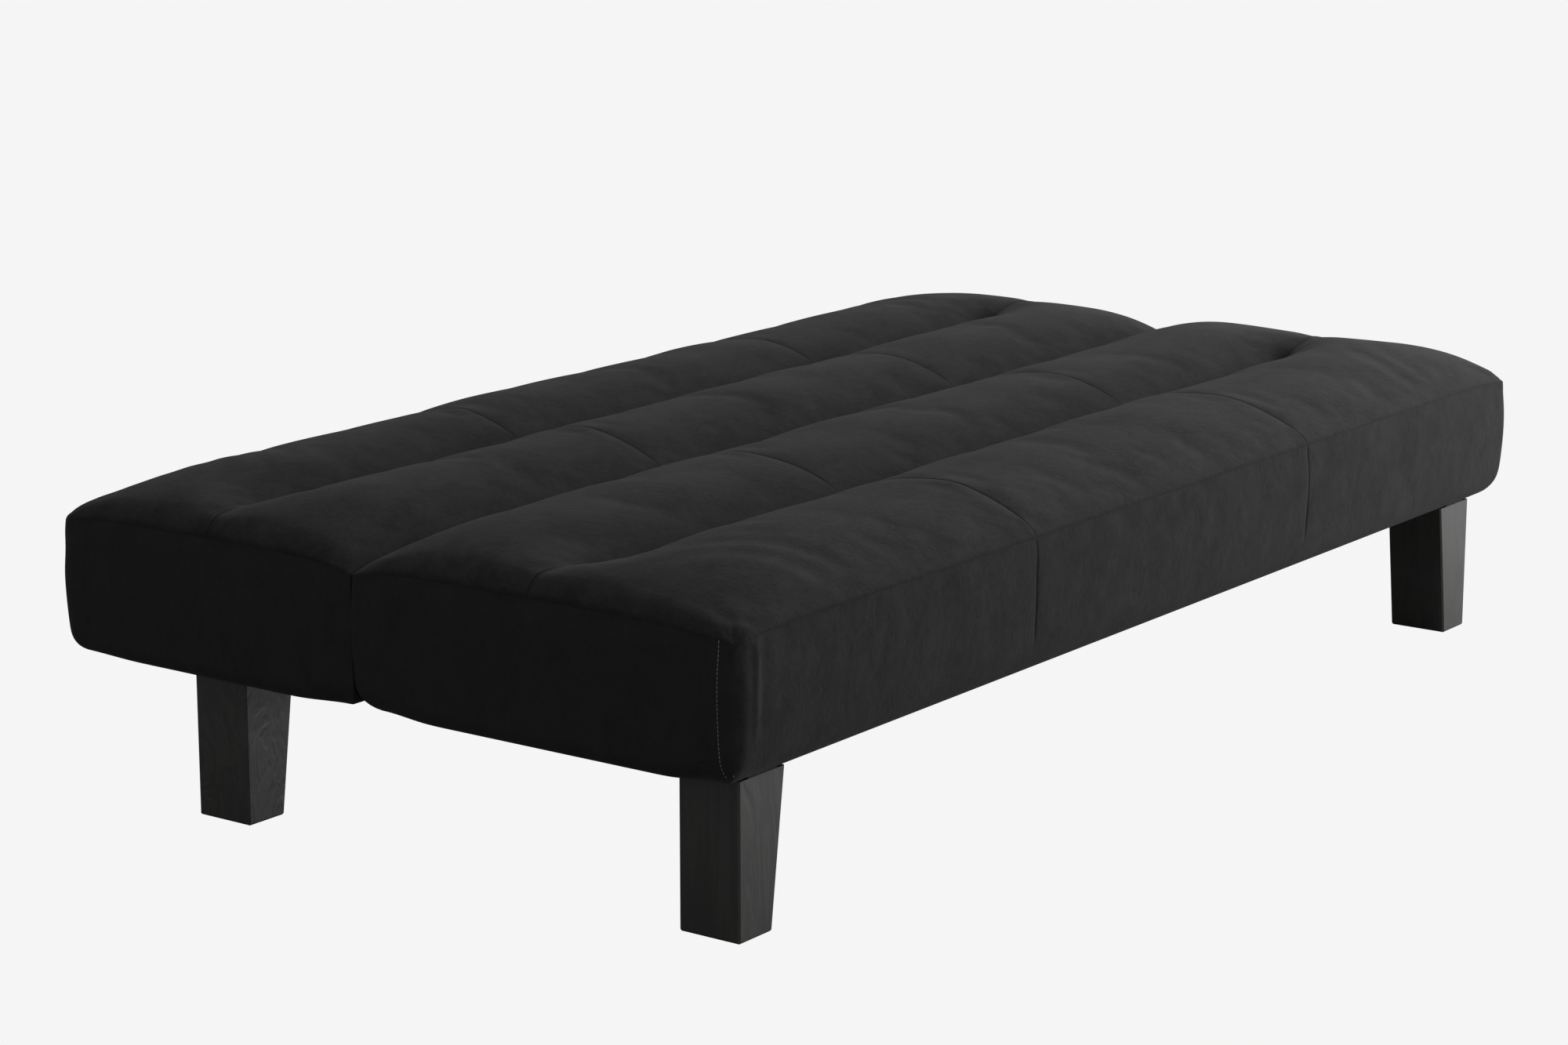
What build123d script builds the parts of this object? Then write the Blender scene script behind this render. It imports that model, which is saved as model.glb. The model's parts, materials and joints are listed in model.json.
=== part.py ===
from build123d import *

import math
import os

# Small click-clack futon sofa bed, lying flat as a bed.
#
# Two upholstered boxes lie side by side on four tapered timber legs. The deep front one is the seat and
# stands on two steel leg rails. The shallower rear one is the back. It rests on the bar between the rails
# and swings up about a pair of ratchet hinges in the crease between the boxes.
#
# Frame: +X along the bed, +Y from the seat's front edge to the back's outer edge, +Z up. The origin is on
# the floor, under the middle of the flat bed. All sizes are in millimetres.

past = 1.0  # cuts run this far past the faces that they open

# ---- overall sizes -------------------------------------------------------------------------------
length = 1760.0
seat_depth = 523.5
back_depth = 449.5
crease_gap = 2.0  # free space between the two boxes
underside = 180.0  # lowest face of the upholstery
border_height = 170.0  # sewn border, from the underside to the top seam
crown_rise = 40.0  # how far the stuffed top stands above the top seam

# ---- upholstery ----------------------------------------------------------------------------------
cover_t = 1.5
side_wadding_t = 10.5
bottom_wadding_t = 4.5
wadding_joint = 0.5  # gap where two strips of wadding meet
outer_edge_chamfer = 24.0  # bottom edges on the outside of the bed
crease_edge_chamfer = 14.0  # bottom edges in the crease
corner_chamfer = 9.0  # upright corners
crown_shoulder = 120.0  # how far in from a seam the crown reaches its full height
end_shoulder = 130.0
crown_steps = ((0.0, 0.0), (0.33, 0.52), (0.68, 0.86), (1.0, 1.0))  # shares of a shoulder and of the rise
crease_slope_width = 22.0  # flat 45 degree chamfer at the top of the crease
crease_shoulder = 112.0
crease_fullness = 3.0
channel_depth = 37.0
channel_half_width = 78.0
channel_flat = 2.0  # half the width of its bottom
channel_end_margin = 84.0  # from the box's end to the end of the sewn channel
channel_end_ramp = 92.0

# ---- timber box frames ---------------------------------------------------------------------------
board_t = 18.0
board_bevel = 12.0  # lower outer edges of the boards
box_height = 112.0
joist_t = 40.0
joist_top_gap = 3.0  # joists stay this far below the springs' plane
cleat = 18.0
cleat_clearance = 5.0  # from a cleat's end to a steel arm
corner_block_leg = 34.0
corner_block_height = 60.0
corner_block_gap = 2.0  # a block is trimmed to stay this far from a joist
lining_t = 1.0  # non-woven lining stapled under the joists

# ---- springs -------------------------------------------------------------------------------------
wire_d = 3.6
spring_half_bar = 16.0
spring_pitch_wanted = 24.0
spring_count = 12
spring_spacing = 120.0
clip_wall = 1.2
clip_length = 22.0
clip_width = 13.0
wire_play = 0.1
felt_t = 2.4

# ---- legs and leg rails --------------------------------------------------------------------------
glide_t = 2.0
glide_r = 13.0
glide_nail_r = 1.6
glide_nail_length = 18.0
leg_top_width = 81.0
leg_foot_width = 58.0
leg_depth = 80.0
leg_edge_chamfer = 2.0
leg_end_inset = 46.0  # from the bed's end to the leg's upright outer face
leg_front_inset = 30.5  # from the seat's front edge to the front legs
leg_rear_inset = 160.5  # from the back's outer edge to the rear legs
rail_width = 50.0
rail_height = 25.0
rail_wall = 2.0
rail_setback = 2.5  # from the seat's front board to the rails' front ends
rail_overrun = 4.0  # and run this far past the rear legs
end_cap_t = 2.0
end_cap_plug = 12.0
rail_notch_side = 6.0  # room beside a rail where it passes through a box board
rail_notch_top = 2.0
back_lift = 8.0  # from the rails' top face to the back's joists
bumper_r = 12.0
bumper_stem_r = 4.0
bumper_gap = 0.6  # between a bumper and the lining above it

# ---- fasteners -----------------------------------------------------------------------------------
leg_bolt_r = 4.0
leg_bolt_length = 62.0
bolt_head_r = 7.5
bolt_head_t = 4.2
insert_r = 6.5
insert_length = 22.0
head_room = 3.0  # beside a leg bolt's head, in the seat's joist and lining
head_room_above = 4.0
bolt_tip_room = 2.0  # under a leg bolt's tip
screw_head_room = 1.0  # beside a rail screw's head, in the hole it goes in through
hole_play = 0.25  # bolts in steel
wood_play = 0.05  # screws in timber
rail_screw_r = 3.5
rail_screw_length = 40.0
rail_screw_count = 3
rail_screw_first = 70.0  # from the seat's crease board to the first screw
rail_screw_last = 53.0  # from the front leg's bolt to the last screw
arm_screw_r = 3.0
arm_screw_length = 26.0
arm_screw_head_r = 5.5
arm_screw_head_t = 3.0
arm_screw_shares = (0.12, 0.52, 0.92)  # along the straight bar of a hinge arm

# ---- ratchet hinges ------------------------------------------------------------------------------
pivot_drop = 6.0  # pivot axis below the top seam
arm_t = 4.0
arm_bar_height = 36.0
arm_bar_length = 165.0
seat_arm_elbow_back = 46.0  # elbow of the seat arm, from the pivot axis towards the front
seat_arm_elbow_drop = 96.0
back_arm_elbow_out = 58.0
back_arm_elbow_drop = 80.0
arm_gap = 0.4
eye_r = 9.0
pin_r = 4.5
pin_play = 0.05
pin_head_r = 7.0
pin_head_t = 2.0
ratchet_r = 44.0
tooth_pitch = 16.0
tooth_count = 6
ratchet_start = -104.0  # degrees from +Y, about the pivot
ratchet_end = 8.0
pawl_pivot_r = 60.0
pawl_pivot_angle = -50.0
pawl_eye_r = 6.5
pawl_pin_r = 3.0
pawl_pin_head_r = 5.5
pawl_heel_r = 53.0
pawl_heel_angle = -80.0
pawl_heel_size = 3.0
pawl_nose_angle = -84.0
pawl_nose_half = 2.2
pawl_nose_taper = 0.6  # how much wider each side of the nose is at its root
pawl_nose_lean = 1.0  # degrees that the nose leans at its root
pawl_lift = 0.8  # free space between the lifted nose and the teeth
pawl_throw = 7.0  # degrees from lifted to engaged
notch_play = 0.5
slot_half_width = 10.0  # slots in the upholstery for the hinges
slot_reach = 64.0
slot_over_eye = 3.0

# ---- places worked out from the sizes above ------------------------------------------------------
total_depth = seat_depth + crease_gap + back_depth
half_length = length / 2
y_front = -total_depth / 2
y_rear = total_depth / 2
y_seat_crease = y_front + seat_depth
y_back_crease = y_seat_crease + crease_gap
y_pivot = (y_seat_crease + y_back_crease) / 2
z_seam = underside + border_height
z_crown = z_seam + crown_rise
z_pivot = z_seam - pivot_drop
board_inset = cover_t + side_wadding_t
board_inner = board_inset + board_t
z_board = underside + cover_t + bottom_wadding_t
z_box_top = z_board + box_height
z_wire = z_box_top + clip_wall + wire_d / 2
z_felt = z_wire + wire_d / 2 + clip_wall
z_foam = z_felt + felt_t
z_joist_top = z_box_top - joist_top_gap
rail_x = half_length - leg_end_inset - leg_top_width / 2
z_rail_top = underside + rail_height
z_seat_joist = z_rail_top + lining_t
z_back_joist = z_rail_top + back_lift
z_back_lining = z_back_joist - lining_t
y_front_leg = y_front + leg_front_inset + leg_depth / 2
y_rear_leg = y_rear - leg_rear_inset - leg_depth / 2
y_rail_front = y_front + board_inner + rail_setback
y_rail_rear = y_rear_leg + leg_depth / 2 + rail_overrun
seat_joist_x = rail_x  # the seat's joists sit on the leg rails
seat_arm_x = seat_joist_x - joist_t / 2 - arm_t  # inner face of the seat arm
back_arm_x = seat_arm_x - arm_gap - arm_t  # inner face of the back arm
back_joist_x = back_arm_x - joist_t / 2
slot_x = seat_arm_x
seat_elbow = (y_pivot - seat_arm_elbow_back, z_pivot - seat_arm_elbow_drop)
back_elbow = (y_pivot + back_arm_elbow_out, z_pivot - back_arm_elbow_drop)
sides = (("left", -1), ("right", 1))
side_plane = Plane(origin=(0, 0, 0), x_dir=(0, 1, 0), z_dir=(1, 0, 0))  # local x is +Y, local y is +Z


def write(piece, name):
    """Labels a finished piece and writes it as one STEP file."""
    piece.part.label = name
    export_step(piece.part, f"parts/{name}.step")


def side_profile(depth):
    """Cross-section of one box's upholstery, drawn from its outer edge at 0 towards the crease."""
    outer = [(crown_shoulder * share, z_seam + crown_rise * rise) for share, rise in crown_steps]
    crease_top = z_pivot + crease_slope_width
    middle_in = (crease_slope_width + crease_shoulder) / 2
    middle = (depth - middle_in, (crease_top + z_crown) / 2 + crease_fullness)
    crease = [
        (depth - crease_shoulder, z_crown),
        middle,
        (depth - crease_slope_width, crease_top),
        (depth, z_pivot),
    ]
    with BuildLine() as outline:
        Polyline((0, underside), *outer, *crease, (depth, underside), close=True)
    make_face(outline.line)


def end_profile():
    """Lengthwise outline of the upholstery, the same for both boxes."""
    rising = [(end_shoulder * share - half_length, z_seam + crown_rise * rise) for share, rise in crown_steps]
    falling = [(-x, z) for x, z in reversed(rising)]
    with BuildLine() as outline:
        Polyline((-half_length, underside), *rising, *falling, (half_length, underside), close=True)
    make_face(outline.line)


def channel_cut(middle, inset):
    """Long sewn channel along the top: a flat-bottomed groove that runs out towards both ends."""
    bottom = z_crown - channel_depth - inset
    slope = channel_half_width / channel_depth
    half_top = channel_half_width + slope * (past + inset) + inset
    half_run = half_length - channel_end_margin + inset
    with BuildPart() as groove:
        with BuildSketch(Plane(origin=(0, middle, 0), x_dir=(0, 1, 0), z_dir=(1, 0, 0))):
            with BuildLine():
                Polyline(
                    (-channel_flat, bottom), (channel_flat, bottom),
                    (half_top, z_crown + past), (-half_top, z_crown + past),
                    close=True,
                )
            make_face()
        extrude(amount=half_length, both=True)
        with BuildSketch(Plane.XZ.offset(-middle)):
            short = half_run - channel_end_ramp
            with BuildLine():
                Polyline(
                    (-short, bottom), (short, bottom),
                    (half_run, z_crown + past), (-half_run, z_crown + past),
                    close=True,
                )
            make_face()
        extrude(amount=2 * half_top, both=True, mode=Mode.INTERSECT)
    return groove.part


def pad_volume(outer_y, inward, depth, inset):
    """Solid inside the cover's outer face, or `inset` inside it. `inward` is the way to the crease."""
    side = Plane(origin=(0, outer_y, 0), x_dir=(0, inward, 0), z_dir=(inward, 0, 0))
    middle = outer_y + inward * depth / 2
    groove = channel_cut(middle, inset)
    with BuildPart() as volume:
        with BuildSketch(side) as profile:
            side_profile(depth)
            lower = profile.vertices().group_by(Axis.Y)[0].sort_by(Axis.X)
            chamfer(lower[0], outer_edge_chamfer)
            lower = profile.vertices().group_by(Axis.Y)[0].sort_by(Axis.X)
            chamfer(lower[-1], crease_edge_chamfer)
            if inset:
                offset(amount=-inset, kind=Kind.INTERSECTION, mode=Mode.REPLACE)
        extrude(amount=half_length, both=True)
        with BuildSketch(Plane.XZ.offset(-middle)) as lengthwise:
            end_profile()
            chamfer(lengthwise.vertices().group_by(Axis.Y)[0], outer_edge_chamfer)
            if inset:
                offset(amount=-inset, kind=Kind.INTERSECTION, mode=Mode.REPLACE)
        extrude(amount=depth, both=True, mode=Mode.INTERSECT)
        with BuildSketch(Plane.XY.offset(underside)) as plan:
            with Locations((0, middle)):
                Rectangle(length, depth)
            chamfer(plan.vertices(), corner_chamfer)
            if inset:
                offset(amount=-inset, kind=Kind.INTERSECTION, mode=Mode.REPLACE)
        extrude(amount=border_height + crown_rise, mode=Mode.INTERSECT)
        add(groove, mode=Mode.SUBTRACT)
    return volume.part


def box_cut(x_low, x_high, y_low, y_high, z_low, z_high, mode=Mode.SUBTRACT):
    """Axis-aligned block given by its limits."""
    with Locations(((x_low + x_high) / 2, (y_low + y_high) / 2, (z_low + z_high) / 2)):
        Box(x_high - x_low, y_high - y_low, z_high - z_low, mode=mode)


class Half:
    """Places shared by the pieces of one upholstered box."""

    def __init__(self, name, outer_y, inward, depth, z_joist, joist_x, notch_top):
        self.name = name
        self.outer_y = outer_y
        self.inward = inward
        self.depth = depth
        self.z_joist = z_joist
        self.joist_x = joist_x
        self.notch_top = notch_top
        crease = outer_y + inward * depth
        self.y_low = min(outer_y, crease)
        self.y_high = max(outer_y, crease)
        self.crease = crease
        # slot for the hinge, from the crease face into the box
        reach = crease - inward * slot_reach
        self.slot_low = min(crease + inward * crease_gap, reach)
        self.slot_high = max(crease + inward * crease_gap, reach)

    def cut_rail_notches(self):
        """Openings in the crease side where the two leg rails pass."""
        wall = self.crease - self.inward * (board_inner + past)
        low, high = sorted((wall, self.crease + self.inward * past))
        half_width = rail_width / 2 + rail_notch_side
        for _, sign in sides:
            centre = sign * rail_x
            box_cut(centre - half_width, centre + half_width, low, high, underside - past, self.notch_top)

    def cut_hinge_slots(self, z_low):
        """Upright slots that the hinge arms and ratchets stand in."""
        for _, sign in sides:
            x_low = sign * slot_x - slot_half_width
            x_high = sign * slot_x + slot_half_width
            z_high = z_pivot + eye_r + slot_over_eye
            box_cut(x_low, x_high, self.slot_low, self.slot_high, z_low, z_high)


seat = Half("seat", y_front, 1, seat_depth, z_seat_joist, seat_joist_x, z_rail_top + rail_notch_top)
back = Half("back", y_rear, -1, back_depth, z_back_joist, back_joist_x, z_back_joist)
z_slot = z_pivot - seat_arm_elbow_drop - arm_bar_height / 2


def make_upholstery(half):
    """Cover, foam pad and side wadding of one box."""
    outer = pad_volume(half.outer_y, half.inward, half.depth, 0)
    inner = pad_volume(half.outer_y, half.inward, half.depth, cover_t)
    hole_x = half_length - board_inner
    y_low = half.y_low + board_inner
    y_high = half.y_high - board_inner

    # sewn fabric cover, stapled under the boards
    with BuildPart() as cover:
        add(outer)
        add(inner, mode=Mode.SUBTRACT)
        box_cut(-hole_x, hole_x, y_low, y_high, underside - past, underside + cover_t + past)
        half.cut_rail_notches()
        half.cut_hinge_slots(z_slot)
    write(cover, f"{half.name}_cover")

    # foam pad on the springs
    with BuildPart() as foam:
        add(inner)
        box_cut(-length, length, y_front - length, y_rear + length, 0, z_foam)
        half.cut_hinge_slots(z_slot)
    write(foam, f"{half.name}_foam")

    # soft strips between the boards and the cover, one on each side of the box
    board_x = half_length - board_inset
    with BuildPart() as ring:
        add(inner)
        box_cut(-length, length, y_front - length, y_rear + length, z_foam, z_crown + past)
        box_cut(-hole_x, hole_x, y_low, y_high, 0, z_crown)
        box_cut(-board_x, board_x, half.y_low + board_inset, half.y_high - board_inset, z_board, z_crown)
        half.cut_rail_notches()
        half.cut_hinge_slots(z_slot)
    with BuildPart() as wadding:
        for low, high in ((half.y_low, y_low), (y_high, half.y_high)):
            add(clip_to(ring.part, (-length, length), (low, high)))
        for low, high in ((-length, -hole_x), (hole_x, length)):
            add(clip_to(ring.part, (low, high), (y_low + wadding_joint, y_high - wadding_joint)))
    write(wadding, f"{half.name}_wadding")


def clip_to(piece, x_limits, y_limits):
    """The share of a piece that lies between two pairs of upright planes."""
    with BuildPart(mode=Mode.PRIVATE) as share:
        add(piece)
        box_cut(*x_limits, *y_limits, 0, z_crown + past, mode=Mode.INTERSECT)
    return share.part


def board_of(half, x_limits, y_limits, crease=False):
    """One board of a box, taken from a block whose lower outer edges are bevelled."""
    board_x = half_length - board_inset
    low = half.y_low + board_inset
    high = half.y_high - board_inset
    with BuildPart() as board:
        box_cut(-board_x, board_x, low, high, z_board, z_box_top, mode=Mode.ADD)
        chamfer(board.faces().sort_by(Axis.Z)[0].edges(), board_bevel)
        box_cut(*x_limits, *y_limits, z_board - past, z_box_top + past, mode=Mode.INTERSECT)
        if crease:
            half.cut_rail_notches()
            half.cut_hinge_slots(z_slot)
    return board


def make_box_frame(half):
    """Boards, joists, corner blocks, cleats, lining and felt of one box."""
    board_x = half_length - board_inset
    inner_x = half_length - board_inner
    low = half.y_low + board_inset
    high = half.y_high - board_inset
    inner_low = half.y_low + board_inner
    inner_high = half.y_high - board_inner
    names = ("front", "crease") if half.inward > 0 else ("crease", "rear")

    for place, y_from, y_to in ((names[0], low, inner_low), (names[1], inner_high, high)):
        board = board_of(half, (-board_x, board_x), (y_from, y_to), crease=place == "crease")
        write(board, f"{half.name}_{place}_board")

    for side, sign in sides:
        x_limits = sorted((sign * inner_x, sign * board_x))
        write(board_of(half, x_limits, (inner_low, inner_high)), f"{half.name}_{side}_board")

    for place, centre in (("left", -half.joist_x), ("centre", 0), ("right", half.joist_x)):
        with BuildPart() as joist:
            x_from = centre - joist_t / 2
            box_cut(x_from, x_from + joist_t, inner_low, inner_high, half.z_joist, z_joist_top, mode=Mode.ADD)
            if place != "centre":
                drill_joist(half, centre)
        write(joist, f"{half.name}_{place}_joist")

    with BuildPart() as corner_blocks:
        with BuildSketch(Plane.XY.offset(z_box_top - corner_block_height)):
            for x_sign in (-1, 1):
                for y_edge, y_sign in ((inner_low, 1), (inner_high, -1)):
                    corner = (x_sign * inner_x, y_edge)
                    along = (x_sign * (inner_x - corner_block_leg), y_edge)
                    across = (x_sign * inner_x, y_edge + y_sign * corner_block_leg)
                    with BuildLine():
                        Polyline(corner, along, across, close=True)
                    make_face()
        extrude(amount=corner_block_height)
        reach = joist_t / 2 + corner_block_gap
        for centre in (-half.joist_x, half.joist_x):
            box_cut(centre - reach, centre + reach, inner_low, inner_high, z_board, z_box_top)
    write(corner_blocks, f"{half.name}_corner_blocks")

    # strips under the boards' inner faces that the lining is stapled to
    gap = joist_t / 2 + cleat_clearance
    with BuildPart() as cleats:
        for sign in (-1, 1):
            x_from, x_to = sorted((sign * gap, sign * (half.joist_x - gap)))
            z_from = half.z_joist
            box_cut(x_from, x_to, inner_low, inner_low + cleat, z_from, z_from + cleat, mode=Mode.ADD)
            box_cut(x_from, x_to, inner_high - cleat, inner_high, z_from, z_from + cleat, mode=Mode.ADD)
            x_from, x_to = sorted((sign * (inner_x - cleat), sign * inner_x))
            box_cut(x_from, x_to, inner_low, inner_high, z_from, z_from + cleat, mode=Mode.ADD)
    write(cleats, f"{half.name}_cleats")

    with BuildPart() as lining:
        z_from = half.z_joist - lining_t
        box_cut(-inner_x, inner_x, inner_low, inner_high, z_from, half.z_joist, mode=Mode.ADD)
        if half.name == "seat":
            cut_lining_holes()
    write(lining, f"{half.name}_lining")

    with BuildPart() as felt:
        box_cut(-board_x, board_x, low, high, z_felt, z_foam, mode=Mode.ADD)
        half.cut_hinge_slots(z_slot)
    write(felt, f"{half.name}_felt")


def rail_screw_ys():
    """Where the screws hold a leg rail to its joist, evenly spaced."""
    first = y_seat_crease - board_inner - rail_screw_first
    last = y_front_leg + rail_screw_last
    pitch = (first - last) / (rail_screw_count - 1)
    return [first - pitch * k for k in range(rail_screw_count)]


def arm_screw_ys(elbow_y, direction):
    """Three screws along the straight bar of a hinge arm."""
    return [elbow_y + direction * (arm_bar_length * share) for share in arm_screw_shares]


def cylinder_along_x(x_low, x_high, y, z, radius, mode=Mode.ADD):
    """Round bar or hole along X."""
    with Locations(Plane(origin=((x_low + x_high) / 2, y, z), z_dir=(1, 0, 0))):
        Cylinder(radius, x_high - x_low, mode=mode)


def cylinder_up(x, y, z_low, z_high, radius, mode=Mode.ADD):
    """Round bar or hole along Z."""
    with Locations((x, y, (z_low + z_high) / 2)):
        Cylinder(radius, z_high - z_low, mode=mode)


def drill_joist(half, centre):
    """Holes for the arm screws and, in the seat, for the rail screws and the front leg bolts' heads."""
    sign = math.copysign(1, centre)
    if half.name == "seat":
        top = z_seat_joist + bolt_head_t + head_room_above
        cylinder_up(centre, y_front_leg, z_seat_joist - past, top, bolt_head_r + head_room, Mode.SUBTRACT)
        for y in rail_screw_ys():
            tip = z_rail_top - rail_wall + rail_screw_length
            cylinder_up(centre, y, z_seat_joist - past, tip, rail_screw_r + wood_play, Mode.SUBTRACT)
        face, way, elbow, direction = seat_arm_x + arm_t, 1, seat_elbow, -1
    else:
        face, way, elbow, direction = back_arm_x, -1, back_elbow, 1
    x_from, x_to = sorted((sign * (face - way * past), sign * (face + way * (arm_screw_length - arm_t))))
    for y in arm_screw_ys(elbow[0], direction):
        cylinder_along_x(x_from, x_to, y, elbow[1], arm_screw_r + wood_play, Mode.SUBTRACT)


def cut_lining_holes():
    """The seat's lining is pierced by the rail screws and the front leg bolts' heads."""
    low, high = z_rail_top - past, z_seat_joist + past
    for _, sign in sides:
        cylinder_up(sign * rail_x, y_front_leg, low, high, bolt_head_r + head_room, Mode.SUBTRACT)
        for y in rail_screw_ys():
            cylinder_up(sign * rail_x, y, low, high, rail_screw_r + wood_play, Mode.SUBTRACT)


def make_springs(half):
    """Row of zigzag springs from the front board to the rear board of one box, and their clips."""
    first = half.y_low + board_inset + board_t / 2
    last = half.y_high - board_inset - board_t / 2
    bars = round((last - first) / spring_pitch_wanted) + 1
    pitch = (last - first) / (bars - 1)
    centres = [(spring_spacing * (k - (spring_count - 1) / 2), 0) for k in range(spring_count)]

    with BuildPart() as spring:
        with BuildLine(Plane.XY.offset(z_wire)) as wire:
            for k in range(bars):
                y = first + pitch * k
                turn = 1 if k % 2 else -1
                Line((-turn * spring_half_bar, y), (turn * spring_half_bar, y))
                if k < bars - 1:
                    start = (turn * spring_half_bar, y)
                    middle = (turn * (spring_half_bar + pitch / 2), y + pitch / 2)
                    ThreePointArc(start, middle, (turn * spring_half_bar, y + pitch))
        with BuildSketch(Plane(origin=wire.line @ 0, z_dir=wire.line % 0)):
            Circle(wire_d / 2)
        sweep(path=wire.line)
    with BuildPart() as springs:
        with Locations(*centres):
            add(spring.part)
    write(springs, f"{half.name}_springs")

    with BuildPart() as clips:
        z_low = z_wire - wire_d / 2 - clip_wall
        z_high = z_wire + wire_d / 2 + clip_wall
        half_wide = clip_width / 2
        for x, _ in centres:
            low, high = x - clip_length / 2, x + clip_length / 2
            for y in (first, last):
                box_cut(low, high, y - half_wide, y + half_wide, z_low, z_high, mode=Mode.ADD)
                cylinder_along_x(low, high, y, z_wire, wire_d / 2 + wire_play, Mode.SUBTRACT)
    write(clips, f"{half.name}_spring_clips")


def make_legs():
    """Four tapered legs with their glides and threaded inserts."""
    leg_places = (("front", y_front_leg), ("rear", y_rear_leg))
    outer_x = half_length - leg_end_inset
    for row, y in leg_places:
        for side, sign in sides:
            with BuildPart() as leg:
                with BuildSketch(Plane.XZ.offset(-y)):
                    foot = sign * (outer_x - leg_foot_width)
                    top = sign * (outer_x - leg_top_width)
                    with BuildLine():
                        Polyline(
                            (sign * outer_x, glide_t), (foot, glide_t),
                            (top, underside), (sign * outer_x, underside),
                            close=True,
                        )
                    make_face()
                extrude(amount=leg_depth / 2, both=True)
                top_edges = leg.faces().sort_by(Axis.Z)[-1].edges()
                chamfer([e for e in leg.edges() if e not in top_edges], leg_edge_chamfer)
                low, high = underside - insert_length, underside + past
                cylinder_up(sign * rail_x, y, low, high, insert_r + wood_play, Mode.SUBTRACT)
                low = z_rail_top - leg_bolt_length - bolt_tip_room
                cylinder_up(sign * rail_x, y, low, underside, leg_bolt_r + hole_play, Mode.SUBTRACT)
                x_foot = sign * (outer_x - leg_foot_width / 2)
                nail_top = glide_t + glide_nail_length
                cylinder_up(x_foot, y, glide_t - past, nail_top, glide_nail_r + wood_play, Mode.SUBTRACT)
            write(leg, f"{row}_leg_{side}")

    with BuildPart() as glides:
        for _, y in leg_places:
            for _, sign in sides:
                x_foot = sign * (outer_x - leg_foot_width / 2)
                cylinder_up(x_foot, y, 0, glide_t, glide_r)
                cylinder_up(x_foot, y, glide_t, glide_t + glide_nail_length, glide_nail_r)
    write(glides, "foot_glides")

    with BuildPart() as inserts:
        for _, y in leg_places:
            for _, sign in sides:
                low = underside - insert_length
                cylinder_up(sign * rail_x, y, low, underside, insert_r)
                cylinder_up(sign * rail_x, y, low, underside, leg_bolt_r + wood_play, Mode.SUBTRACT)
    write(inserts, "leg_inserts")

    with BuildPart() as bolts:
        for _, y in leg_places:
            for _, sign in sides:
                cylinder_up(sign * rail_x, y, z_rail_top - leg_bolt_length, z_rail_top, leg_bolt_r)
                cylinder_up(sign * rail_x, y, z_rail_top, z_rail_top + bolt_head_t, bolt_head_r)
    write(bolts, "leg_bolts")


def make_leg_rails():
    """Two steel leg rails, the bar between their rear ends, and what is fixed to them."""
    for side, sign in sides:
        with BuildPart() as rail:
            x_low = sign * rail_x - rail_width / 2
            x_high = sign * rail_x + rail_width / 2
            box_cut(x_low, x_high, y_rail_front, y_rail_rear, underside, z_rail_top, mode=Mode.ADD)
            fillet(rail.edges().filter_by(Axis.Y), rail_wall)
            bottom, top = underside + rail_wall, z_rail_top - rail_wall
            inner_low, inner_high = x_low + rail_wall, x_high - rail_wall
            box_cut(inner_low, inner_high, y_rail_front - past, y_rail_rear + past, bottom, top)
            x = sign * rail_x
            over = z_rail_top + past
            under = underside - past
            for y in (y_front_leg, y_rear_leg):
                cylinder_up(x, y, under, over, leg_bolt_r + hole_play, Mode.SUBTRACT)
            for y in rail_screw_ys():
                cylinder_up(x, y, top - past, over, rail_screw_r + hole_play, Mode.SUBTRACT)
                cylinder_up(x, y, under, bottom + past, bolt_head_r + screw_head_room, Mode.SUBTRACT)
        write(rail, f"leg_rail_{side}")

    bar_x = rail_x - rail_width / 2
    bumper_xs = (-back.joist_x, 0, back.joist_x)
    with BuildPart() as cross_bar:
        half_bar = rail_height / 2
        front, rear = y_rear_leg - half_bar, y_rear_leg + half_bar
        box_cut(-bar_x, bar_x, front, rear, underside, z_rail_top, mode=Mode.ADD)
        fillet(cross_bar.edges().filter_by(Axis.X), rail_wall)
        bottom, top = underside + rail_wall, z_rail_top - rail_wall
        box_cut(-bar_x - past, bar_x + past, front + rail_wall, rear - rail_wall, bottom, top)
        for x in bumper_xs:
            cylinder_up(x, y_rear_leg, top - past, z_rail_top + past, bumper_stem_r, Mode.SUBTRACT)
    write(cross_bar, "rear_cross_bar")

    with BuildPart() as bumpers:
        for x in bumper_xs:
            cylinder_up(x, y_rear_leg, z_rail_top - rail_wall, z_rail_top, bumper_stem_r)
            cylinder_up(x, y_rear_leg, z_rail_top, z_back_lining - bumper_gap, bumper_r)
    write(bumpers, "rest_bumpers")

    with BuildPart() as caps:
        for _, sign in sides:
            x_low = sign * rail_x - rail_width / 2
            x_high = sign * rail_x + rail_width / 2
            plug_low, plug_high = x_low + rail_wall, x_high - rail_wall
            bottom, top = underside + rail_wall, z_rail_top - rail_wall
            for rail_end, way in ((y_rail_front, -1), (y_rail_rear, 1)):
                low, high = sorted((rail_end, rail_end + way * end_cap_t))
                box_cut(x_low, x_high, low, high, underside, z_rail_top, mode=Mode.ADD)
                low, high = sorted((rail_end, rail_end - way * end_cap_plug))
                box_cut(plug_low, plug_high, low, high, bottom, top, mode=Mode.ADD)
    write(caps, "rail_end_caps")

    with BuildPart() as screws:
        for _, sign in sides:
            for y in rail_screw_ys():
                under = z_rail_top - rail_wall
                cylinder_up(sign * rail_x, y, under, under + rail_screw_length, rail_screw_r)
                cylinder_up(sign * rail_x, y, under - bolt_head_t, under, bolt_head_r)
    write(screws, "rail_screws")


def polar(radius, angle):
    """Point at a distance and angle from the pivot axis, as (y, z)."""
    turn = math.radians(angle)
    return (y_pivot + radius * math.cos(turn), z_pivot + radius * math.sin(turn))


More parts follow.
